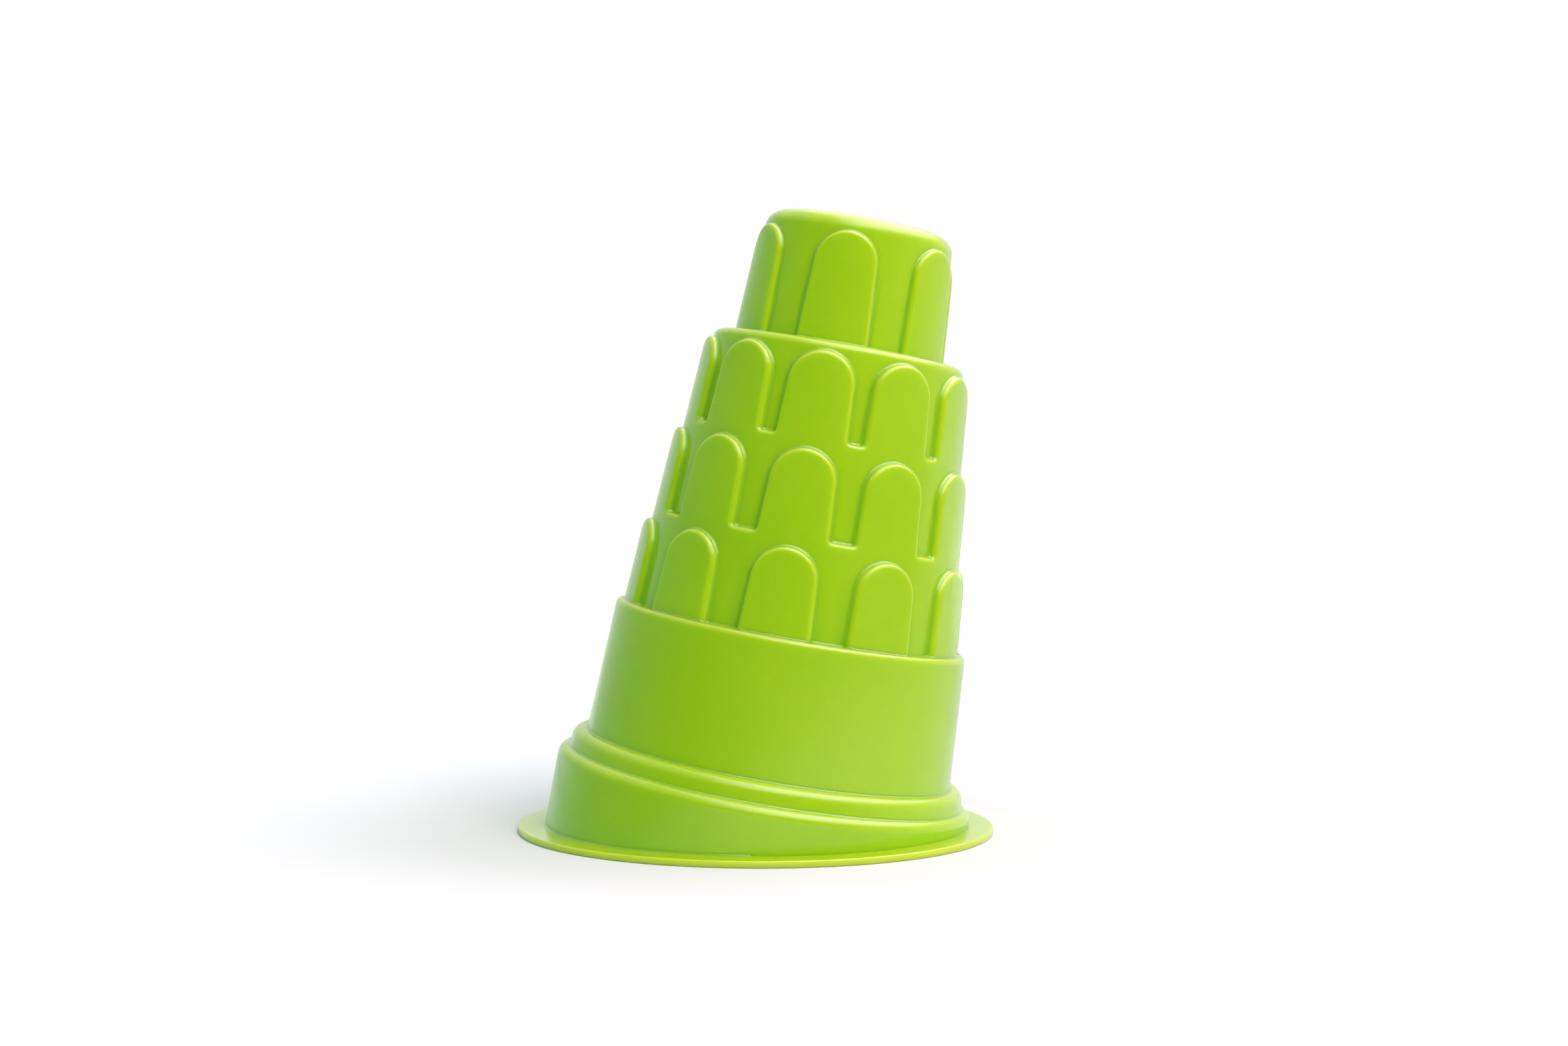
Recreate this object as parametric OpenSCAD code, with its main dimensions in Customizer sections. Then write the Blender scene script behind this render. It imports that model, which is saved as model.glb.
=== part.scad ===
// Sand mould in the form of a leaning round tower
// One thin-walled moulding, open at the bottom and closed at the top.
// Heights are measured along the leaning axis, from where it meets the floor.
// Each tier takes its radius from the one below it and the width of the ledge between,
// and the widths of the rim and the ledges are shares of the rim's diameter.

/* [Rim] */
// Diameter of the flat rim that the mould stands on
rim_d = 150; // [126:1:180]
// Width of the rim outside the plinth, as a share of the rim's diameter
rim_share = 0.0593; // [0.05:0.0001:0.08]
// Thickness of the flat rim
rim_t = 2; // [1.6:0.1:3]
// Lean of the tower away from upright, in degrees
lean = 9.6; // [6:0.2:10.6]

/* [Shell] */
// Thickness of the wall, the same all over
wall = 2; // [1.4:0.1:2.4]
// Concave radius where a round tier rises from a ledge
root_r = 0.8; // [0.4:0.1:1.2]

/* [Plinth] */
// Height of the plinth's shoulder along the axis
plinth_h = 17.5; // [16.5:0.1:20]
// Draft of the plinth's wall, in degrees
plinth_draft = 0.7; // [0.3:0.1:2]
// Rounding of the plinth's shoulder
plinth_round = 3; // [1:0.1:3.2]

/* [Step] */
// Width of the plinth's ledge, as a share of the rim's diameter
step_share = 0.022; // [0.021:0.0001:0.03]
// Height of the step above the plinth
step_h = 6; // [5:0.1:9]
// Draft of the step's wall, in degrees
step_draft = 3.6; // [1:0.1:5]
// Rounding of the step's shoulder
step_round = 3.2; // [1:0.1:4]

/* [Drum] */
// Width of the step's ledge, as a share of the rim's diameter
drum_share = 0.0313; // [0.0295:0.0001:0.045]
// Height of the drum above the step
drum_h = 41.9; // [30:0.1:60]
// Draft of the drum's wall, in degrees
drum_draft = 2.95; // [1.5:0.05:3.2]
// Rounding of the drum's top edge
drum_round = 1.8; // [0.6:0.1:1.9]

/* [Arcades] */
// Width of the drum's ledge under the arches, as a share of the rim's diameter
arcade_share = 0.0157; // [0.014:0.0001:0.02]
// Height of one storey of arches
storey_h = 29.6; // [28.5:0.1:34]
// Draft of the arcaded storeys, in degrees
arcade_draft = 4.45; // [3.5:0.05:4.6]
// Depth of the arches' relief, which is also the step-in from storey to storey
relief = 2.35; // [1.8:0.05:2.5]
// Number of arches round a storey
arch_count = 10; // [8:1:10]
// Angle of the first arch, counted from the side that the tower leans to
arch_turn = 18; // [0:0.5:36]
// Width of an arch at its foot, as a share of its bay in the uppermost storey
arch_share = 0.7905; // [0.65:0.0005:0.82]
// Height of wall left above the crown of an arch
arch_gap = 3.2; // [2.8:0.1:6]
// Taper of each side of an arch, in degrees
arch_taper = 3; // [1:0.5:5]

/* [Upper ledge] */
// Rounding of the ledge above the arcades
ledge_round = 2.8; // [2.2:0.1:3.2]

/* [Turret] */
// Radius of the turret over its arches, as a share of the ledge it stands on
turret_radius_share = 0.8477; // [0.78:0.0001:0.87]
// Height of the turret above the ledge
turret_h = 39.6; // [38.6:0.1:60]
// Draft of the turret's wall, in degrees
turret_draft = 3.4; // [2:0.1:4]
// Depth of the relief of the turret's arches
turret_relief = 1.8; // [1.2:0.1:2]
// Number of arches round the turret
turret_count = 6; // [5:1:6]
// Angle of the turret's first arch, counted from the side that the tower leans to
turret_turn = 30; // [0:0.5:60]
// Width of a turret arch at its foot, as a share of its bay
turret_arch_share = 0.6253; // [0.5:0.0001:0.63]
// Height of wall left above the crown of a turret arch
turret_gap = 5.6; // [5:0.1:9]
// Taper of each side of a turret arch, in degrees
turret_taper = 3; // [2:0.5:5]
// Rounding of the turret's top edge, as a share of the turret's radius
cap_share = 0.1637; // [0.11:0.0001:0.166]

/* [Hidden] */
$fn = 180;
// overrun of cutting solids, and the depth to which arches are rooted in the wall
over = 1;
// added to the radius of every rounding, so that a straight side crosses the arc
hair = 0.002;
plastic = "#a0cb1e";

// planes along the leaning axis: the upper faces of the ledges and the top
plinth_top = plinth_h;
step_top = plinth_top + step_h;
drum_top = step_top + drum_h;
middle_foot = drum_top + storey_h;
upper_foot = middle_foot + storey_h;
ledge_top = upper_foot + storey_h;
turret_top = ledge_top + turret_h;

// how far each tier draws in for each unit of height
plinth_slope = tan(plinth_draft);
step_slope = tan(step_draft);
drum_slope = tan(drum_draft);
arcade_slope = tan(arcade_draft);
turret_slope = tan(turret_draft);

// outer radii, each where its tier begins; the draft then draws it in
plinth_r = rim_d / 2 - rim_share * rim_d;
step_r = plinth_r - step_share * rim_d;
drum_r = step_r - drum_share * rim_d;
arcade_r = drum_r - drum_h * drum_slope - arcade_share * rim_d;
turret_r = turret_radius_share * storey_face(3, ledge_top);
cap_round = cap_share * turret_r;

// arches, round-topped and the same size in every storey
arch_w = arch_share * 2 * PI * storey_face(2, upper_foot) / arch_count;
arch_h = storey_h - arch_gap;
turret_arch_w = turret_arch_share * 2 * PI * turret_r / turret_count;
turret_arch_h = turret_h - turret_gap;

// lowest point of the plinth along the axis, below the rim on the side it leans to
dip = -(rim_d / 2) * tan(lean) - rim_t;

// face radius of the arches of a storey at height h; storey 0 is the lowest,
// and storey 3 stands for the plain wall behind the uppermost arches
function storey_face(i, h) = arcade_r - i * relief - (h - drum_top) * arcade_slope;
function storey_foot(i) = drum_top + i * storey_h;
function turret_face(h) = turret_r - (h - ledge_top) * turret_slope;

// upright axis turned to the tower's lean, towards +X
module leaning() {
    rotate([0, lean, 0]) children();
}

// half outline of a drafted tier from the axis outwards, its top edge rounded
module tier(radius, slope, low, top, edge) {
    draft = atan(slope);
    turn_r = radius - (top - low) * slope + edge * slope - edge / cos(draft);
    turn_h = top - edge;
    polygon([
        [0, low],
        [radius, low],
        [turn_r + edge * cos(draft), turn_h + edge * sin(draft)],
        [turn_r, turn_h],
        [turn_r, top],
        [0, top]
    ]);
    if (edge > 0)
        intersection() {
            translate([turn_r, turn_h]) circle(edge + hair);
            translate([0, low]) square([radius, top - low]);
        }
}

// half outline of a drafted tier with sharp edges
module plain_tier(radius, slope, low, top) {
    polygon([[0, low], [radius, low], [radius - (top - low) * slope, top], [0, top]]);
}

// concave corner that leads from a ledge into the wall above it
module root(radius, slope, ledge) {
    draft = atan(slope);
    turn_r = radius - root_r * slope + root_r / cos(draft);
    turn_h = ledge + root_r;
    difference() {
        polygon([
            [radius - root_r, ledge],
            [turn_r, ledge],
            [turn_r, turn_h],
            [turn_r - root_r * cos(draft), turn_h - root_r * sin(draft)],
            [radius - root_r, turn_h - root_r * sin(draft)]
        ]);
        translate([turn_r, turn_h]) circle(root_r + hair);
    }
}

// band between two planes across the axis
module band(low, top) {
    translate([0, low]) square([rim_d, top - low]);
}

// hollow of each tier, drawn as a half outline that starts under the ledge below it
module plinth_hollow() {
    tier(plinth_r - wall - dip * plinth_slope, plinth_slope, dip - over,
        plinth_top - wall, max(plinth_round - wall, 0));
}

module step_hollow() {
    tier(step_r - wall + wall * step_slope, step_slope, plinth_top - wall,
        step_top - wall, max(step_round - wall, 0));
}

module drum_hollow() {
    plain_tier(drum_r - wall + wall * drum_slope, drum_slope, step_top - wall,
        drum_top - wall);
}

module storey_hollow(i) {
    low = storey_foot(i) - wall;
    top = storey_foot(i + 1) - wall;
    edge = i == 2 ? max(ledge_round - wall, 0) : 0;
    tier(storey_face(i + 1, low) - wall, arcade_slope, low, top, edge);
}

module turret_hollow() {
    low = ledge_top - wall;
    tier(turret_face(low) - turret_relief - wall, turret_slope, low, turret_top - wall,
        max(cap_round - wall, 0));
}

// face of one arch: tapered sides that run tangent into a round crown; inset
// shrinks it evenly, and drop lets its foot run down below the storey's floor
module arch_outline(width, height, taper, inset, drop) {
    crown = (width / 2 - height * tan(taper)) / (1 / cos(taper) - tan(taper));
    spring = height - crown;
    half = (crown - inset) / cos(taper) + (spring + drop) * tan(taper);
    tip = crown - inset;
    translate([0, spring]) circle(tip + hair);
    polygon([
        [-half, -drop],
        [half, -drop],
        [tip * cos(taper), spring + tip * sin(taper)],
        [-tip * cos(taper), spring + tip * sin(taper)]
    ]);
}

// ring of arches standing out of a drafted wall, from radius inner to radius outer
// at the foot plane; both surfaces follow the draft. The ring starts at drop below
// the foot plane, and a narrower collar leads it further down
module arch_ring(inner, outer, slope, foot, count, turn, width, height, taper, inset, drop) {
    low = foot - drop;
    top = foot + height - inset;
    reach = inner - (height + drop) * slope - over - over;
    intersection() {
        rotate_extrude()
            polygon([
                [inner, low - over],
                [inner + over / 2, low - over],
                [inner + over / 2, low],
                [outer + drop * slope, low],
                [outer - (top + over - foot) * slope, top + over],
                [inner - (top + over - foot) * slope, top + over]
            ]);
        for (k = [0 : count - 1])
            rotate([0, 0, turn + k * 360 / count])
                translate([reach, 0, foot])
                    rotate([90, 0, 90])
                        linear_extrude(outer + over - reach)
                            arch_outline(width, height, taper, inset, drop + over + over);
    }
}

// arches of a storey, and the pockets behind them, which open into the storey below
module storey_arches(i) {
    foot = storey_foot(i);
    arch_ring(storey_face(i + 1, foot) - over, storey_face(i, foot), arcade_slope, foot,
        arch_count, arch_turn, arch_w, arch_h, arch_taper, 0, over);
}

module storey_pockets(i) {
    foot = storey_foot(i);
    arch_ring(storey_face(i + 1, foot) - wall - over, storey_face(i, foot) - wall,
        arcade_slope, foot, arch_count, arch_turn, arch_w, arch_h, arch_taper, wall, wall);
}

module turret_arches() {
    arch_ring(turret_r - turret_relief - over, turret_r, turret_slope, ledge_top,
        turret_count, turret_turn, turret_arch_w, turret_arch_h, turret_taper, 0, over);
}

module turret_pockets() {
    arch_ring(turret_r - turret_relief - wall - over, turret_r - wall, turret_slope,
        ledge_top, turret_count, turret_turn, turret_arch_w, turret_arch_h, turret_taper,
        wall, wall);
}

// wall of one storey: its arches stand on the storey's floor, and the slots between
// them end there on a small sill, because the storey below is wider
module storey(i) {
    low = storey_foot(i);
    top = i == 2 ? ledge_top - ledge_round : storey_foot(i + 1);
    difference() {
        intersection() {
            union() {
                rotate_extrude()
                    tier(storey_face(i + 1, low - over), arcade_slope, low - over,
                        storey_foot(i + 1), i == 2 ? ledge_round : 0);
                storey_arches(i);
            }
            rotate_extrude() band(low, top);
        }
        rotate_extrude() {
            storey_hollow(i);
            if (i < 2) storey_hollow(i + 1);
        }
        storey_pockets(i);
        if (i < 2) storey_pockets(i + 1);
    }
}

// flat rim, a horizontal disc that the hollow of the plinth passes through
module rim_flange() {
    color(plastic)
        difference() {
            cylinder(h = rim_t, d = rim_d);
            leaning() rotate_extrude() plinth_hollow();
        }
}

// plinth: its shoulder lies across the leaning axis, so that its wall is tall on one
// side and dips into the rim on the side that the tower leans to
module plinth_wall() {
    color(plastic)
        intersection() {
            leaning()
                rotate_extrude()
                    difference() {
                        union() {
                            tier(plinth_r - dip * plinth_slope, plinth_slope, dip,
                                plinth_top, plinth_round);
                            plain_tier(step_r, step_slope, plinth_top,
                                plinth_top + root_r);
                            root(step_r, step_slope, plinth_top);
                        }
                        plinth_hollow();
                        step_hollow();
                    }
            translate([0, 0, rim_t]) cylinder(h = rim_d, d = rim_d);
        }
}

// low rounded step between the plinth and the drum
module plinth_step() {
    color(plastic)
        leaning()
            rotate_extrude()
                difference() {
                    union() {
                        intersection() {
                            tier(step_r, step_slope, plinth_top, step_top, step_round);
                            band(plinth_top + root_r, step_top);
                        }
                        plain_tier(drum_r, drum_slope, step_top, step_top + root_r);
                        root(drum_r, drum_slope, step_top);
                    }
                    step_hollow();
                    drum_hollow();
                }
}

// plain drum up to the underside of its ledge
module drum_wall() {
    color(plastic)
        leaning()
            rotate_extrude()
                difference() {
                    intersection() {
                        plain_tier(drum_r, drum_slope, step_top, drum_top);
                        band(step_top + root_r, drum_top - wall);
                    }
                    drum_hollow();
                }
}

// ledge on which the lowest arches stand, cut through by their pockets
module drum_ledge() {
    color(plastic)
        leaning()
            difference() {
                rotate_extrude()
                    difference() {
                        intersection() {
                            tier(drum_r, drum_slope, step_top, drum_top, drum_round);
                            band(drum_top - wall, drum_top);
                        }
                        storey_hollow(0);
                    }
                storey_pockets(0);
            }
}

// the three storeys of arches
module lower_arcade() {
    color(plastic) leaning() storey(0);
}

module middle_arcade() {
    color(plastic) leaning() storey(1);
}

module upper_arcade() {
    color(plastic) leaning() storey(2);
}

// rounded ledge above the arches, cut through by the pockets of the turret
module upper_ledge() {
    color(plastic)
        leaning()
            difference() {
                rotate_extrude()
                    difference() {
                        intersection() {
                            tier(storey_face(3, upper_foot), arcade_slope, upper_foot,
                                ledge_top, ledge_round);
                            band(ledge_top - ledge_round, ledge_top);
                        }
                        storey_hollow(2);
                        turret_hollow();
                    }
                turret_pockets();
            }
}

// turret with its tall arches, up to where its top edge begins to round
module turret_wall() {
    color(plastic)
        leaning()
            difference() {
                intersection() {
                    union() {
                        rotate_extrude()
                            tier(turret_face(ledge_top - over) - turret_relief,
                                turret_slope, ledge_top - over, turret_top, cap_round);
                        turret_arches();
                    }
                    rotate_extrude() band(ledge_top, turret_top - cap_round);
                }
                rotate_extrude() turret_hollow();
                turret_pockets();
            }
}

// closed top with its rounded edge
module turret_cap() {
    color(plastic)
        leaning()
            rotate_extrude()
                difference() {
                    intersection() {
                        tier(turret_r - turret_relief, turret_slope, ledge_top,
                            turret_top, cap_round);
                        band(turret_top - cap_round, turret_top);
                    }
                    turret_hollow();
                }
}

rim_flange();
plinth_wall();
plinth_step();
drum_wall();
drum_ledge();
lower_arcade();
middle_arcade();
upper_arcade();
upper_ledge();
turret_wall();
turret_cap();
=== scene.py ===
import math

import bmesh
import bpy
from mathutils import Matrix, Vector


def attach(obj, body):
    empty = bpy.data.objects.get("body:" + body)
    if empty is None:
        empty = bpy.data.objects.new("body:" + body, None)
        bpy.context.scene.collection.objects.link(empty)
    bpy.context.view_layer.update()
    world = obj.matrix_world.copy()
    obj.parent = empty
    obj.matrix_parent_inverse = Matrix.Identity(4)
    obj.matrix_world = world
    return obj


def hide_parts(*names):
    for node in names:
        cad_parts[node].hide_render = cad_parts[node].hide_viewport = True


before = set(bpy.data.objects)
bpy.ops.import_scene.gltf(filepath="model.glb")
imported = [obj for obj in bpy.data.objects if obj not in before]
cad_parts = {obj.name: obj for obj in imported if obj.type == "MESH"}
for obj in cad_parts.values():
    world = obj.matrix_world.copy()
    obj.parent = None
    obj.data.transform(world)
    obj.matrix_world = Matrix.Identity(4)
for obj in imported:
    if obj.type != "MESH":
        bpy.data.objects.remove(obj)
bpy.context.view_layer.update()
bpy.ops.object.select_all(action="DESELECT")
print("frame loaded:", len(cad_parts), "nodes")

mm = 0.001
hair = 0.01 * mm  # less than any real distance on the mould

# the tiers of the tower: sizes in millimetres, heights along the leaning axis
tower = {
    "lean": 9.6,
    "wall": 2.0,
    "plinthFoot": -14.0,  # the walls start below the floor and are cut off at it
    "plinthRadius": 66.1, "plinthTop": 17.5, "plinthDraft": 0.7, "plinthRound": 3.0,
    "stepRadius": 62.8, "stepTop": 23.5, "stepDraft": 3.6, "stepRound": 3.2,
    "drumRadius": 58.1, "drumTop": 65.4, "drumDraft": 2.95, "drumRound": 1.8,
    "rootRound": 0.8,
    # radii at which one shell ends and the next stands on it
    "drumSeam": 54.1, "drumSeamInside": 52.6,
    "ledgeTop": 154.2, "ledgeSeam": 35.6, "ledgeSeamInside": 34.6,
}

shading = {
    "weldWithin": 1e-6,
    "smoothUpTo": 38,  # degrees between two faces
    "flatFaceWeight": 60,
}


# small tools for working in edit mode

def selectOnly(piece):
    bpy.ops.object.select_all(action="DESELECT")
    bpy.context.view_layer.objects.active = piece
    piece.select_set(True)


def openMesh(piece):
    selectOnly(piece)
    bpy.ops.object.mode_set(mode="EDIT")
    bpy.ops.mesh.select_all(action="DESELECT")


def closeMesh():
    bpy.ops.object.mode_set(mode="OBJECT")


def pick(kind, test):
    bpy.ops.mesh.select_mode(type=kind)
    bpy.ops.mesh.select_all(action="DESELECT")
    data = bpy.context.edit_object.data
    mesh = bmesh.from_edit_mesh(data)
    items = {"VERT": mesh.verts, "EDGE": mesh.edges, "FACE": mesh.faces}[kind]
    for item in items:
        if test(item):
            item.select_set(True)
    bmesh.update_edit_mesh(data, loop_triangles=False, destructive=False)


def near(a, b, slack=2e-6):
    return abs(a - b) < slack


def flatRadius(vert):
    return math.hypot(vert.co.x, vert.co.y)


def sharpEdge(edge, angle=0.7):
    # an edge whose two faces turn by more than an angle in radians
    return len(edge.link_faces) == 2 and edge.calc_face_angle() > angle


def push(value):
    bpy.ops.mesh.extrude_region_move(TRANSFORM_OT_translate={"value": value})


def roundEdges(width, segments):
    bpy.ops.mesh.bevel(offset=width * mm, segments=segments, affect="EDGES",
                       clamp_overlap=False)


def merge(slack=3e-6):
    bpy.ops.mesh.select_all(action="SELECT")
    bpy.ops.mesh.remove_doubles(threshold=slack)


def drawPath(name, points):
    # a line in the XZ plane: one point, extruded from place to place
    bpy.ops.object.select_all(action="DESELECT")
    bpy.ops.mesh.primitive_plane_add(size=mm, enter_editmode=True)
    piece = bpy.context.object
    piece.name = name
    bpy.ops.mesh.select_mode(type="VERT")
    bpy.ops.mesh.select_all(action="SELECT")
    bpy.ops.mesh.merge(type="CENTER")
    bpy.ops.transform.translate(value=(points[0][0], 0, points[0][1]))
    for (ax, az), (bx, bz) in zip(points, points[1:]):
        push((bx - ax, 0, bz - az))
    return piece


def arc(centre, radius, start, end, steps):
    # points of an arc in the XZ plane, angles in degrees from +X towards +Z
    turns = [math.radians(start + (end - start) * k / steps) for k in range(steps + 1)]
    return [(centre[0] + radius * math.cos(t), centre[1] + radius * math.sin(t))
            for t in turns]


def scaled(points):
    return [(x * mm, z * mm) for x, z in points]


def joinAll(name, pieces):
    bpy.ops.object.select_all(action="DESELECT")
    for piece in pieces:
        piece.select_set(True)
    bpy.context.view_layer.objects.active = pieces[0]
    bpy.ops.object.join()
    whole = bpy.context.object
    whole.name = name
    return whole


def openEdges(low, high):
    # picks the free edges that lie between two heights
    pick("EDGE", lambda e: len(e.link_faces) == 1
         and all(low < v.co.z < high for v in e.verts))


def joinSkins(height, below=5, above=1):
    # closes the gap between the outer and the inner skin near a height in millimetres
    openEdges((height - below) * mm, (height + above) * mm)
    bpy.ops.mesh.bridge_edge_loops()


def leanOver(piece):
    selectOnly(piece)
    piece.rotation_euler = (0, math.radians(tower["lean"]), 0)
    bpy.ops.object.transform_apply(location=True, rotation=True, scale=True)


def markBends(mesh):
    # how sharply the surface turns at each point, per millimetre: more than zero on
    # rounded edges and less than zero in the roots between them
    around = [[] for vert in mesh.vertices]
    for edge in mesh.edges:
        a, b = [mesh.vertices[k] for k in edge.vertices]
        along = b.co - a.co
        bend = (b.normal - a.normal).dot(along) / along.length_squared * mm
        around[a.index].append(bend)
        around[b.index].append(bend)
    bends = []
    for values in around:
        values.sort()
        # the second value from each end, so that one odd edge doesn't count
        ridge, root = max(values[-2], 0), min(values[1], 0)
        bends.append(ridge if ridge > -root else root)
    mesh.attributes.new("bend", "FLOAT", "POINT").data.foreach_set("value", bends)


def countOpenEdges(mesh):
    uses = {}
    for face in mesh.polygons:
        for key in face.edge_keys:
            uses[key] = uses.get(key, 0) + 1
    return sum(1 for count in uses.values() if count != 2)


def finishShell(piece):
    openMesh(piece)
    merge(shading["weldWithin"])
    bpy.ops.mesh.normals_make_consistent(inside=False)
    closeMesh()
    bpy.ops.object.shade_smooth_by_angle(angle=math.radians(shading["smoothUpTo"]))
    weigh = piece.modifiers.new("even", "WEIGHTED_NORMAL")
    weigh.keep_sharp = True
    weigh.weight = shading["flatFaceWeight"]
    bpy.ops.object.modifier_apply(modifier=weigh.name)
    mesh = piece.data
    markBends(mesh)
    triangles = sum(len(p.vertices) - 2 for p in mesh.polygons)
    print(piece.name, "triangles", triangles, "open edges", countOpenEdges(mesh))


# base: rim, plinth, step and drum, turned on the leaning axis
base = {
    "steps": 288, "insideSteps": 144,
    "shoulderSteps": 12, "rootSteps": 6, "drumRoundSteps": 10,
    "rimRadius": 74.97, "rimTop": 2.0,
    "rimEdge": 0.45, "rimEdgeSteps": 4,
    "rimRoot": 0.7, "rimRootSteps": 5, "rimRootAngle": 0.5,
    "rimWidth": 2.0,  # at least this much of the rim is bare all round
    "insideRound": 1.0, "insideRoundSteps": 4,
    "topSeam": (40, 90),  # the slanted end of the drum lies between these heights
}


def drafted(radius, height, degrees):
    return radius - height * math.tan(math.radians(degrees))


def baseOutline():
    root, plinthRound, stepRound, drumRound = [
        tower[name] for name in ("rootRound", "plinthRound", "stepRound", "drumRound")]
    plinthTop, stepTop, drumTop = tower["plinthTop"], tower["stepTop"], tower["drumTop"]
    shoulderSteps, rootSteps = base["shoulderSteps"], base["rootSteps"]
    # plinth shoulder, whose arc runs straight into the root of the step
    top = drafted(tower["plinthRadius"], plinthTop, tower["plinthDraft"])
    shoulder = (top - plinthRound, plinthTop - plinthRound)
    rootX = tower["stepRadius"] + root
    reach = plinthRound + root
    rise = math.sqrt(reach ** 2 - (rootX - shoulder[0]) ** 2)
    touch = math.degrees(math.atan2(rise, rootX - shoulder[0]))
    foot = tower["plinthFoot"]
    points = [(drafted(tower["plinthRadius"], foot, tower["plinthDraft"]), foot)]
    points += arc(shoulder, plinthRound, tower["plinthDraft"], touch, shoulderSteps)
    points += arc((rootX, shoulder[1] + rise), root, 180 + touch,
                  180 + tower["stepDraft"], rootSteps)[1:]
    # step shoulder, its flat and the root of the drum
    top = drafted(tower["stepRadius"], stepTop - plinthTop, tower["stepDraft"])
    points += arc((top - stepRound, stepTop - stepRound), stepRound,
                  tower["stepDraft"], 90, shoulderSteps)
    points += arc((tower["drumRadius"] + root, stepTop + root), root, 270,
                  180 + tower["drumDraft"], rootSteps)
    # drum and its rounded top edge
    top = drafted(tower["drumRadius"], drumTop - stepTop, tower["drumDraft"])
    points += arc((top - drumRound, drumTop - drumRound), drumRound,
                  tower["drumDraft"], 90, base["drumRoundSteps"])
    points += [(tower["drumSeam"], drumTop)]
    return scaled(points)


def baseInside():
    wall, rounding = tower["wall"], base["insideRound"]
    steps = base["insideRoundSteps"]
    plinth, step, drum = [(tower[name + "Radius"] - wall, tower[name + "Draft"])
                          for name in ("plinth", "step", "drum")]
    plinthTop, stepTop, drumTop = [tower[name] - wall
                                   for name in ("plinthTop", "stepTop", "drumTop")]

    def radiusAt(tier, height):
        return drafted(tier[0], height, tier[1])

    shoulder = radiusAt(plinth, plinthTop)
    stepEnd = radiusAt(step, stepTop - tower["plinthTop"])
    foot = tower["plinthFoot"]
    points = [(radiusAt(plinth, foot), foot)]
    points += arc((shoulder - rounding, plinthTop - rounding), rounding, 0, 90, steps)
    points += [(radiusAt(step, -wall), plinthTop)]
    points += arc((stepEnd - rounding, stepTop - rounding), rounding, 0, 90, steps)
    points += [(radiusAt(drum, -wall), stepTop),
               (radiusAt(drum, drumTop - tower["stepTop"]), drumTop),
               (tower["drumSeamInside"], drumTop)]
    return scaled(points)


def turned(name, points, steps):
    piece = drawPath(name, points)
    bpy.ops.mesh.select_all(action="SELECT")
    bpy.ops.mesh.spin(steps=steps, angle=2 * math.pi, center=(0, 0, 0), axis=(0, 0, 1))
    merge()
    closeMesh()
    return piece


def cutBelow(piece, height):
    openMesh(piece)
    bpy.ops.mesh.select_all(action="SELECT")
    bpy.ops.mesh.bisect(plane_co=(0, 0, height), plane_no=(0, 0, 1), clear_inner=True)
    closeMesh()


def toCircle(radius):
    # draws what is selected out to a circle about the rim's centre
    data = bpy.context.edit_object.data
    for vert in bmesh.from_edit_mesh(data).verts:
        if vert.select:
            stretch = radius / flatRadius(vert)
            vert.co.x, vert.co.y = vert.co.x * stretch, vert.co.y * stretch
    bmesh.update_edit_mesh(data)


def makeBase():
    top, radius = base["rimTop"] * mm, base["rimRadius"] * mm
    bare = radius - base["rimWidth"] * mm
    outer = turned("baseShell", baseOutline(), base["steps"])
    leanOver(outer)
    cutBelow(outer, top)
    openMesh(outer)
    # the rim runs out level from the foot of the plinth
    openEdges(top - hair, top + hair)
    push((0, 0, 0))
    toCircle(radius)
    pick("EDGE", lambda e: sharpEdge(e, base["rimRootAngle"])
         and all(near(v.co.z, top) and flatRadius(v) < bare for v in e.verts))
    roundEdges(base["rimRoot"], base["rimRootSteps"])

    def atRimEdge(edge):
        return all(near(flatRadius(v), radius) and near(v.co.z, top) for v in edge.verts)

    pick("EDGE", atRimEdge)
    push((0, 0, -top))
    pick("EDGE", atRimEdge)
    roundEdges(base["rimEdge"], base["rimEdgeSteps"])
    closeMesh()

    inner = turned("baseInside", baseInside(), base["insideSteps"])
    leanOver(inner)
    cutBelow(inner, 0)
    shell = joinAll("baseShell", [outer, inner])
    openMesh(shell)
    openEdges(-mm, mm)
    bpy.ops.mesh.fill()
    openEdges(*[height * mm for height in base["topSeam"]])
    bpy.ops.mesh.fill()
    closeMesh()
    return shell


# arches: one bay is modelled flat, rolled onto the cone and copied round
arcade = {
    "radius": 53.6, "foot": 65.4, "storey": 29.6, "storeys": 3,
    "draft": 4.45, "relief": 2.35,
    "count": 10, "turn": 18.0,
    "width": 22.0, "height": 26.4, "taper": 3.0,
    "edge": 1.3, "root": 1.0, "ledgeRoot": 0.7, "bevelSteps": 5, "ledgeRootSteps": 4,
    "corner": 1.15, "cornerSteps": 5,  # where a slot ends on its sill
    "apron": 1.6,  # how far the arches run down into the storey below
    "crownSteps": 40,
    "insideEdge": 0.3, "insideRoot": 0.7, "insideBevelSteps": 2, "insideCrownSteps": 24,
    "cuts": (-12.0, -8.5, -5.7, -2.85, 0.0, 2.85, 5.7, 8.5, 12.0), "wideFace": 0.9,
    "lip": 12.0, "halfBay": 13.0,  # a bay stretches beyond its lip to meet the next
    "ledgeRound": 2.8, "ledgeRoundHeight": 2.25, "ledgeRoundSteps": 10,
    "insideLedgeRound": 1.1, "insideLedgeSteps": 3,
}
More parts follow.
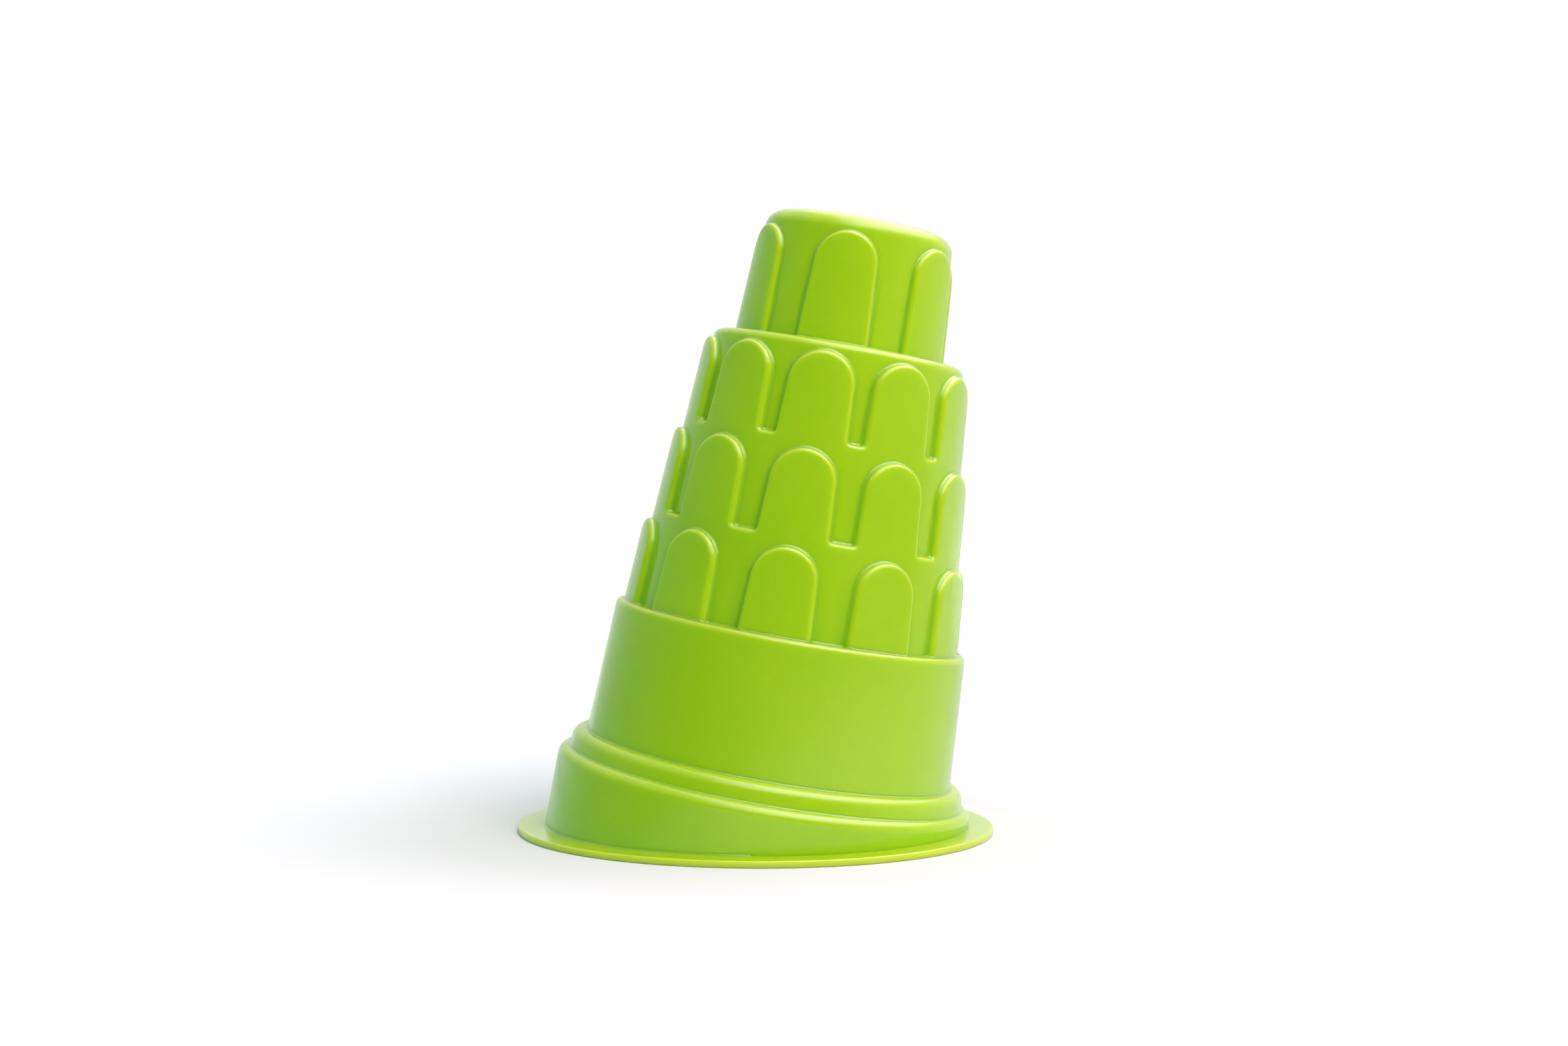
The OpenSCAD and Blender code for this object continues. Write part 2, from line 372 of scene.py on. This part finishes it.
turret = {
    "radius": 33.6, "foot": 154.2, "draft": 3.4, "relief": 1.8,
    "count": 6, "turn": 30.0,
    "width": 22.0, "height": 34.0, "taper": 3.0,
    "edge": 1.05, "root": 0.7, "ledgeRoot": 0.7, "bevelSteps": 5, "ledgeRootSteps": 4,
    "corner": 0,  # the arches stand on the ledge
    "crownSteps": 40,
    "insideEdge": 0.3, "insideRoot": 0.6, "insideBevelSteps": 2, "insideCrownSteps": 24,
    "cuts": (-12.5, -12.0, -7.5, -5.0, -2.5, 0.0, 2.5, 5.0, 7.5, 12.0, 12.5),
    "wideFace": 0.9,
    "lip": 12.0, "halfBay": 13.0,
    "top": 193.8, "capRound": 5.5, "capRoundHeight": 4.75, "capSteps": 14,
    "capRings": (16.0, 6.0),  # radii on the flat top
    "insideCapRound": 3.0, "insideCapSteps": 5, "insideCapRings": (12.0,),
}


def archShape(width, height, taper, inset):
    # crown radius, crown height and half width at the foot, each shrunk by inset
    lean = math.radians(taper)
    crown = (width / 2 - height * math.tan(lean)) / (1 / math.cos(lean) - math.tan(lean))
    spring = height - crown
    half = (crown - inset) / math.cos(lean) + (spring + inset) * math.tan(lean)
    return crown - inset, spring + inset, half


def archPath(size, bay):
    # from bay edge to bay edge along the floor and over the arch
    crown, spring, half = size
    over = arc((0, spring), crown, 180 - bay["taper"], bay["taper"], bay["steps"])
    corner = bay["corner"]
    if corner:
        lean = 90 - bay["taper"]
        gap = corner * math.tan(math.radians(lean / 2))
        foot = arc((half + gap, corner), corner, 270, 180 + bay["taper"],
                   bay["cornerSteps"])
    else:
        foot = [(half, 0)]
    right = over + list(reversed(foot)) + [(bay["halfBay"], 0)]
    left = [(-bay["halfBay"], 0)] + [(-x, z) for x, z in foot]
    return scaled(left + right)


def flatBay(name, bay):
    size = archShape(bay["width"], bay["height"], bay["taper"], bay["inset"])
    half, relief, top = bay["halfBay"] * mm, bay["relief"] * mm, bay["top"] * mm
    foot = size[2] * mm
    piece = drawPath(name, archPath(size, bay))
    bpy.ops.mesh.select_all(action="SELECT")
    push((0, relief, 0))
    # the wall behind the arches
    pick("VERT", lambda v: near(v.co.y, relief) and near(abs(v.co.x), half))
    push((0, 0, top))
    bpy.ops.mesh.edge_face_add()
    pick("EDGE", lambda e: all(near(v.co.y, relief) for v in e.verts))
    bpy.ops.mesh.edge_face_add()
    if bay["corner"]:
        # the arch's face runs down into the storey below
        pick("VERT", lambda v: near(v.co.y, 0) and near(abs(v.co.x), half))
        push((0, 0, -bay["apron"] * mm))
        bpy.ops.mesh.edge_face_add()
        pick("EDGE", lambda e: all(near(v.co.y, 0) for v in e.verts))
        bpy.ops.mesh.edge_face_add()
    else:
        # the arch stands on a ledge
        pick("VERT", lambda v: near(v.co.y, 0) and near(abs(v.co.x), foot)
             and near(v.co.z, 0))
        bpy.ops.mesh.edge_face_add()
        pick("EDGE", lambda e: all(near(v.co.y, 0) and abs(v.co.x) < foot + hair
                                   for v in e.verts))
        bpy.ops.mesh.edge_face_add()
        pick("EDGE", lambda e: all(near(v.co.y, 0) and near(v.co.z, 0) for v in e.verts))
        push((0, -bay["front"] * mm, 0))

    def onLedge(edge):
        return all(near(v.co.z, 0) for v in edge.verts)

    def creased(edge, depth):
        # a sharp edge at one depth of the relief, but not along the ledge
        return (sharpEdge(edge) and all(near(v.co.y, depth) for v in edge.verts)
                and (bay["corner"] or not onLedge(edge)))

    pick("EDGE", lambda e: creased(e, 0))
    roundEdges(bay["edge"], bay["bevelSteps"])
    pick("EDGE", lambda e: creased(e, relief))
    roundEdges(bay["root"], bay["bevelSteps"])
    if not bay["corner"]:
        pick("EDGE", lambda e: sharpEdge(e) and onLedge(e))
        roundEdges(bay["ledgeRoot"], bay["ledgeRootSteps"])
    # broad faces are cut into strips, so that they can follow the cone
    for cut in bay["cuts"]:
        pick("FACE", lambda f: max(v.co.x for v in f.verts)
             - min(v.co.x for v in f.verts) > bay["wideFace"] * mm)
        bpy.ops.mesh.bisect(plane_co=(cut * mm, 0, 0), plane_no=(1, 0, 0))
    closeMesh()
    return piece


def rollRound(piece, bay):
    # lays the flat bay on its cone, then copies it round the axis
    slope = math.tan(math.radians(bay["draft"]))
    lip, half = bay["lip"] * mm, bay["halfBay"] * mm
    halfTurn = math.pi / bay["count"]
    for vert in piece.data.vertices:
        across, depth, height = vert.co
        radius = bay["face"] * mm - depth - height * slope
        angle = math.asin(min(abs(across), lip) / radius)
        if abs(across) > lip:
            # the strip beyond the lip takes up what is left of the bay's share
            angle += (abs(across) - lip) / (half - lip) * (halfTurn - angle)
        angle = math.copysign(angle, across) + math.radians(bay["turn"])
        vert.co = (radius * math.cos(angle), radius * math.sin(angle),
                   bay["foot"] * mm + height)
    openMesh(piece)
    bpy.ops.mesh.select_all(action="SELECT")
    bpy.ops.mesh.spin(steps=bay["count"] - 1, dupli=True, center=(0, 0, 0), axis=(0, 0, 1),
                      angle=2 * halfTurn * (bay["count"] - 1))
    merge()
    closeMesh()


def ring(name, bay):
    piece = flatBay(name, bay)
    rollRound(piece, bay)
    return piece


def insideBay(bay, seam):
    # the inner skin has smaller roundings and fewer steps
    bay.update({
        "edge": bay["insideEdge"], "root": bay["insideRoot"],
        "bevelSteps": bay["insideBevelSteps"], "steps": bay["insideCrownSteps"],
        "front": seam - bay["face"],
    })


def storeyBay(level, inside):
    bay = dict(arcade)
    wall = tower["wall"] if inside else 0.0
    slope = math.tan(math.radians(bay["draft"]))
    face = bay["radius"] - level * bay["relief"] - level * bay["storey"] * slope
    highest = level == bay["storeys"] - 1
    bay.update({
        "inset": wall, "face": face - wall + wall * slope,
        "foot": bay["foot"] + level * bay["storey"] - wall,
        "top": bay["storey"] - (bay["ledgeRoundHeight"] if highest else bay["apron"]),
        "corner": bay["corner"] if level else 0,
        "front": tower["drumSeam"] - face,
        "steps": bay["crownSteps"],
    })
    if inside:
        insideBay(bay, tower["drumSeamInside"])
        if highest:
            bay["top"] = bay["storey"] - bay["insideLedgeRound"]
    return bay


def turretBay(inside):
    bay = dict(turret)
    wall = tower["wall"] if inside else 0.0
    slope = math.tan(math.radians(bay["draft"]))
    over = bay["insideCapRound"] if inside else bay["capRoundHeight"]
    bay.update({
        "inset": wall, "face": bay["radius"] - wall + wall * slope,
        "foot": bay["foot"] - wall,
        "top": bay["top"] - bay["foot"] - over,
        "front": tower["ledgeSeam"] - bay["radius"],
        "steps": bay["crownSteps"],
    })
    if inside:
        insideBay(bay, tower["ledgeSeamInside"])
    return bay


def stretchRing(before, radius, rise):
    push((0, 0, rise * mm))
    factor = radius / before
    bpy.ops.transform.resize(value=(factor, factor, 1), center_override=(0, 0, 0))


def roundOver(piece, bay, reach, rise, steps, ends):
    # carries the upper edge of a wall over a rounded shoulder, then in to each of ends,
    # and leaves the mesh open with the last ring selected
    slope = math.tan(math.radians(bay["draft"]))
    height = bay["foot"] + bay["top"]
    wall = bay["face"] - bay["relief"] - bay["top"] * slope
    openMesh(piece)
    pick("EDGE", lambda e: len(e.link_faces) == 1
         and all(near(v.co.z, height * mm, hair) for v in e.verts))
    before, z = wall, height
    for k in range(1, steps + 1):
        turn = math.pi / 2 * k / steps
        newZ = height + rise * math.sin(turn)
        radius = (wall - reach * (1 - math.cos(turn))
                  - slope * rise * math.sin(turn) * math.cos(turn))
        stretchRing(before, radius, newZ - z)
        before, z = radius, newZ
    for radius in ends:
        stretchRing(before, radius, 0)
        before = radius


def storeys(name, inside):
    rings = [ring(name, storeyBay(level, inside)) for level in range(arcade["storeys"])]
    skin = joinAll(name, rings)
    openMesh(skin)
    merge()
    closeMesh()
    return skin


def makeArcade():
    highest = arcade["storeys"] - 1
    outer = storeys("arcadeShell", False)
    roundOver(outer, storeyBay(highest, False), arcade["ledgeRound"],
              arcade["ledgeRoundHeight"], arcade["ledgeRoundSteps"],
              [tower["ledgeSeam"]])
    closeMesh()
    inner = storeys("arcadeInside", True)
    roundOver(inner, storeyBay(highest, True), arcade["insideLedgeRound"],
              arcade["insideLedgeRound"], arcade["insideLedgeSteps"],
              [tower["ledgeSeamInside"]])
    closeMesh()
    shell = joinAll("arcadeShell", [outer, inner])
    openMesh(shell)
    joinSkins(arcade["foot"])
    joinSkins(tower["ledgeTop"])
    closeMesh()
    leanOver(shell)
    return shell


def makeTurret():
    outer = ring("turretShell", turretBay(False))
    roundOver(outer, turretBay(False), turret["capRound"], turret["capRoundHeight"],
              turret["capSteps"], turret["capRings"])
    bpy.ops.mesh.edge_face_add()
    closeMesh()
    inner = ring("turretInside", turretBay(True))
    roundOver(inner, turretBay(True), turret["insideCapRound"], turret["insideCapRound"],
              turret["insideCapSteps"], turret["insideCapRings"])
    bpy.ops.mesh.edge_face_add()
    closeMesh()
    shell = joinAll("turretShell", [outer, inner])
    openMesh(shell)
    joinSkins(turret["foot"])
    closeMesh()
    leanOver(shell)
    return shell


baseShell = makeBase()
print("base modelled")
arcadeShell = makeArcade()
print("arcades modelled")
turretShell = makeTurret()
print("turret modelled")

for shell in (baseShell, arcadeShell, turretShell):
    finishShell(shell)


# small tools for materials

def mapRange(nodes, links, source, low, high, newLow=0.0, newHigh=1.0):
    node = nodes.new("ShaderNodeMapRange")
    for name, value in (("From Min", low), ("From Max", high), ("To Min", newLow),
                        ("To Max", newHigh)):
        node.inputs[name].default_value = value
    links.new(source, node.inputs["Value"])
    return node.outputs["Result"]


def calculate(nodes, links, operation, *sources):
    node = nodes.new("ShaderNodeMath")
    node.operation = operation
    for source, socket in zip(sources, node.inputs):
        links.new(source, socket)
    return node.outputs[0]


# translucent green plastic: bends are per millimetre, the rim's height in millimetres
plasticLook = {
    "deep": (0.280, 0.575, 0.008), "light": (0.335, 0.620, 0.011),
    # painted highlight on the rounded edges
    "edge": (0.335, 0.56, 0.017), "highlightBend": (0.1, 1.2),
    # painted shade in the roots between the roundings
    "root": (0.25, 0.55, 0.012), "shadeBend": (-0.1, -1.0),
    # painted light on the thin rim, as if lit through
    "rim": (0.41, 0.63, 0.026), "rimGlowHeight": (2.1, 1.3),
    "roughness": 0.18, "roughnessSpread": 0.03,
    # noises: scale, detail, roughness
    "cloud": (14.0, 2.0, 0.5), "cloudRange": (0.25, 0.75),
    "satin": (55.0, 3.0, 0.6), "satinRange": (0.3, 0.7),
    "ripple": (70.0, 2.0, 0.5), "rippleStrength": 0.06, "rippleHeight": 0.0003,
    "ior": 1.49,
    "subsurface": 1.0, "depth": 0.005, "reach": (1.0, 0.75, 0.12),
}


def makePlastic():
    look = plasticLook
    material = bpy.data.materials.new("greenMouldedPlastic")
    material.use_nodes = True
    nodes, links = material.node_tree.nodes, material.node_tree.links
    shader = nodes["Principled BSDF"]
    place = nodes.new("ShaderNodeTexCoord")

    def noise(scale, detail, rough):
        node = nodes.new("ShaderNodeTexNoise")
        node.inputs["Scale"].default_value = scale
        node.inputs["Detail"].default_value = detail
        node.inputs["Roughness"].default_value = rough
        links.new(place.outputs["Object"], node.inputs["Vector"])
        return node.outputs["Fac"]

    def shade(colour, below, amount):
        node = nodes.new("ShaderNodeMix")
        node.data_type = "RGBA"
        links.new(amount, node.inputs[0])
        links.new(below, node.inputs[6])
        node.inputs[7].default_value = colour + (1,)
        return node.outputs[2]

    # a slight cloudiness
    ramp = nodes.new("ShaderNodeValToRGB")
    for stop, position, name in zip(ramp.color_ramp.elements, look["cloudRange"],
                                    ("deep", "light")):
        stop.position = position
        stop.color = look[name] + (1,)
    links.new(noise(*look["cloud"]), ramp.inputs["Fac"])

    # painted highlight: the rounded edges are painted lighter, where light would gather in
    # them
    bend = nodes.new("ShaderNodeAttribute")
    bend.attribute_name = "bend"
    colour = shade(look["edge"], ramp.outputs["Color"],
                   mapRange(nodes, links, bend.outputs["Fac"], *look["highlightBend"]))
    # painted shade: the roots are painted darker, where light would be lost in them
    colour = shade(look["root"], colour,
                   mapRange(nodes, links, bend.outputs["Fac"], *look["shadeBend"]))
    # painted light: the thin rim is painted lighter near the floor, as if light came through
    # it
    split = nodes.new("ShaderNodeSeparateXYZ")
    links.new(place.outputs["Object"], split.inputs[0])
    rimGlowHeight = [height * mm for height in look["rimGlowHeight"]]
    colour = shade(look["rim"], colour,
                   mapRange(nodes, links, split.outputs["Z"], *rimGlowHeight))
    links.new(colour, shader.inputs["Base Color"])

    # the gloss is a little uneven, and so is the surface
    satin = mapRange(nodes, links, noise(*look["satin"]), *look["satinRange"],
                     look["roughness"] - look["roughnessSpread"],
                     look["roughness"] + look["roughnessSpread"])
    links.new(satin, shader.inputs["Roughness"])

    ripple = nodes.new("ShaderNodeBump")
    ripple.inputs["Strength"].default_value = look["rippleStrength"]
    ripple.inputs["Distance"].default_value = look["rippleHeight"]
    links.new(noise(*look["ripple"]), ripple.inputs["Height"])
    links.new(ripple.outputs["Normal"], shader.inputs["Normal"])

    shader.inputs["IOR"].default_value = look["ior"]
    shader.inputs["Subsurface Weight"].default_value = look["subsurface"]
    shader.inputs["Subsurface Scale"].default_value = look["depth"]
    shader.inputs["Subsurface Radius"].default_value = look["reach"]
    return material


plastic = makePlastic()
for shell, nodeNames in (
        (baseShell, ("rim_flange", "plinth_wall", "plinth_step", "drum_wall", "drum_ledge")),
        (arcadeShell, ("lower_arcade", "middle_arcade", "upper_arcade", "upper_ledge")),
        (turretShell, ("turret_wall", "turret_cap"))):
    shell.data.materials.clear()
    shell.data.materials.append(plastic)
    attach(shell, "root")
    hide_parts(*nodeNames)
print("plastic applied")

# floor: paper white to the camera, so that only the object's shadow shows
floorLook = {
    "size": 8.0, "cuts": 7, "level": -0.1 * mm,
    "colour": (0.560, 0.755, 0.580), "roughness": 0.9, "specular": 0.1,
    "liftFrom": 0.10, "liftTo": 0.60,  # metres from the object
    # mirrored in the object it darkens with distance, and is white only behind it
    "mirrorNear": 0.2, "mirrorFar": 0.6, "mirrorDark": 0.2,
    "mirrorFront": 0.0, "mirrorBack": 0.6,
}


def makeFloor():
    look = floorLook
    bpy.ops.object.select_all(action="DESELECT")
    bpy.ops.mesh.primitive_plane_add(size=look["size"], location=(0, 0, look["level"]),
                                     enter_editmode=True)
    floor = bpy.context.object
    floor.name = "floor"
    bpy.ops.mesh.select_all(action="SELECT")
    bpy.ops.mesh.subdivide(number_cuts=look["cuts"])
    closeMesh()
    material = bpy.data.materials.new("paleFloor")
    material.use_nodes = True
    nodes, links = material.node_tree.nodes, material.node_tree.links
    shader = nodes["Principled BSDF"]
    shader.inputs["Roughness"].default_value = look["roughness"]
    shader.inputs["Specular IOR Level"].default_value = look["specular"]
    place = nodes.new("ShaderNodeTexCoord")
    away = nodes.new("ShaderNodeVectorMath")
    away.operation = "LENGTH"
    links.new(place.outputs["Object"], away.inputs[0])
    distance = away.outputs["Value"]
    path = nodes.new("ShaderNodeLightPath")
    cameraRay, glossyRay = path.outputs["Is Camera Ray"], path.outputs["Is Glossy Ray"]

    dim = calculate(nodes, links, "MULTIPLY", glossyRay,
                    mapRange(nodes, links, distance, look["mirrorNear"],
                             look["mirrorFar"]))
    paint = nodes.new("ShaderNodeMix")
    paint.data_type = "RGBA"
    links.new(dim, paint.inputs[0])
    paint.inputs[6].default_value = look["colour"] + (1,)
    paint.inputs[7].default_value = [c * look["mirrorDark"] for c in look["colour"]] + [1]
    links.new(paint.outputs[2], shader.inputs["Base Color"])

    split = nodes.new("ShaderNodeSeparateXYZ")
    links.new(place.outputs["Object"], split.inputs[0])
    behind = mapRange(nodes, links, split.outputs["Y"], look["mirrorFront"],
                      look["mirrorBack"])
    seen = calculate(nodes, links, "MULTIPLY_ADD", glossyRay, behind, cameraRay)
    lift = mapRange(nodes, links, distance, look["liftFrom"], look["liftTo"])
    glow = nodes.new("ShaderNodeEmission")
    links.new(calculate(nodes, links, "MULTIPLY", seen, lift), glow.inputs["Strength"])
    both = nodes.new("ShaderNodeAddShader")
    links.new(shader.outputs[0], both.inputs[0])
    links.new(glow.outputs[0], both.inputs[1])
    links.new(both.outputs[0], nodes["Material Output"].inputs["Surface"])
    floor.data.materials.append(material)


# world: an even fill for the object, white behind it for the camera
worldLook = {
    "fill": 0.50, "fillColour": (0.60, 1.0, 0.88),
    # what the gloss sees: a white studio with its dark side towards the photographer
    "whiteSide": (0.12, 0.98, 0.0), "whiteRange": (-0.7, 0.8),
    "dark": 0.02, "bright": 0.95,
    # and a broad bright panel overhead, weaker on the left
    "panelGlow": 6.8, "panelRise": (0.44, 0.82),
    "panelSide": (-0.30, 0.30), "panelLeft": 0.1, "panelRight": 1.0,
}


def makeWorld():
    look = worldLook
    world = bpy.data.worlds.new("studio")
    bpy.context.scene.world = world
    world.use_nodes = True
    nodes, links = world.node_tree.nodes, world.node_tree.links
    path = nodes.new("ShaderNodeLightPath")
    cameraRay, glossyRay = path.outputs["Is Camera Ray"], path.outputs["Is Glossy Ray"]
    place = nodes.new("ShaderNodeTexCoord")
    fill = nodes["Background"]
    fill.inputs["Color"].default_value = look["fillColour"] + (1,)
    fill.inputs["Strength"].default_value = look["fill"]

    def towards(direction, span, newLow, newHigh):
        # runs from one value to another as a ray turns towards a direction
        dot = nodes.new("ShaderNodeVectorMath")
        dot.operation = "DOT_PRODUCT"
        links.new(place.outputs["Generated"], dot.inputs[0])
        dot.inputs[1].default_value = direction
        return mapRange(nodes, links, dot.outputs["Value"], *span, newLow, newHigh)

    panel = towards((0, 0, 1), look["panelRise"], 0.0, look["panelGlow"])
    side = towards((1, 0, 0), look["panelSide"], look["panelLeft"], look["panelRight"])
    white = towards(look["whiteSide"], look["whiteRange"], look["dark"], look["bright"])
    studio = calculate(nodes, links, "MULTIPLY_ADD", panel, side, white)
    strength = nodes.new("ShaderNodeMix")
    links.new(cameraRay, strength.inputs[0])
    links.new(studio, strength.inputs[2])
    strength.inputs[3].default_value = 1.0  # the camera sees plain white
    backdrop = nodes.new("ShaderNodeBackground")
    backdrop.inputs["Color"].default_value = (1, 1, 1, 1)
    links.new(strength.outputs[0], backdrop.inputs["Strength"])
    either = nodes.new("ShaderNodeMixShader")
    links.new(calculate(nodes, links, "MAXIMUM", cameraRay, glossyRay),
              either.inputs["Fac"])
    links.new(fill.outputs[0], either.inputs[1])
    links.new(backdrop.outputs[0], either.inputs[2])
    links.new(either.outputs[0], nodes["World Output"].inputs["Surface"])


lampAim = (0.0, 0.0, 0.09)
lamps = (
    # name, place, size, watts, colour
    ("softboxAbove", (0.42, 0.05, 1.25), 1.2, 24.0, (1.0, 0.49, 0.95)),
    ("softboxRight", (0.72, -0.98, 0.85), 0.7, 15.2, (1.0, 0.56, 0.70)),
)


def makeLamps():
    for name, place, size, watts, colour in lamps:
        bpy.ops.object.light_add(type="AREA", location=place)
        lamp = bpy.context.object
        lamp.name = name
        lamp.data.shape = "SQUARE"
        lamp.data.size = size
        lamp.data.energy = watts
        lamp.data.color = colour
        lamp.visible_glossy = False  # the world has their reflections
        ray = Vector(lampAim) - Vector(place)
        lamp.rotation_euler = ray.to_track_quat("-Z", "Y").to_euler()


# place in metres, turns in radians, lens and sensor in millimetres
camera = {
    "place": (0.0808, -0.6835, 0.1055), "yaw": -0.1056, "pitch": 0.0124, "roll": 0.0057,
    "lens": 49.81, "sensor": 36, "clipStart": 0.01,
}


def makeCamera():
    yaw, pitch, roll = camera["yaw"], camera["pitch"], camera["roll"]
    ahead = Vector((math.sin(yaw) * math.cos(pitch), math.cos(yaw) * math.cos(pitch),
                    -math.sin(pitch)))
    right = Vector((math.cos(yaw), -math.sin(yaw), 0))
    up = right.cross(ahead)
    right, up = (right * math.cos(roll) + up * math.sin(roll),
                 up * math.cos(roll) - right * math.sin(roll))
    bpy.ops.object.camera_add(location=camera["place"])
    eye = bpy.context.object
    eye.name = "photoCamera"
    turn = Matrix((right, up, -ahead)).transposed()
    eye.rotation_euler = turn.to_euler()
    eye.data.sensor_fit = "HORIZONTAL"
    eye.data.sensor_width = camera["sensor"]
    eye.data.lens = camera["lens"]
    eye.data.clip_start = camera["clipStart"]
    bpy.context.scene.camera = eye


makeFloor()
makeWorld()
makeLamps()
makeCamera()
bpy.context.scene.view_settings.view_transform = "Standard"
print("stage set")
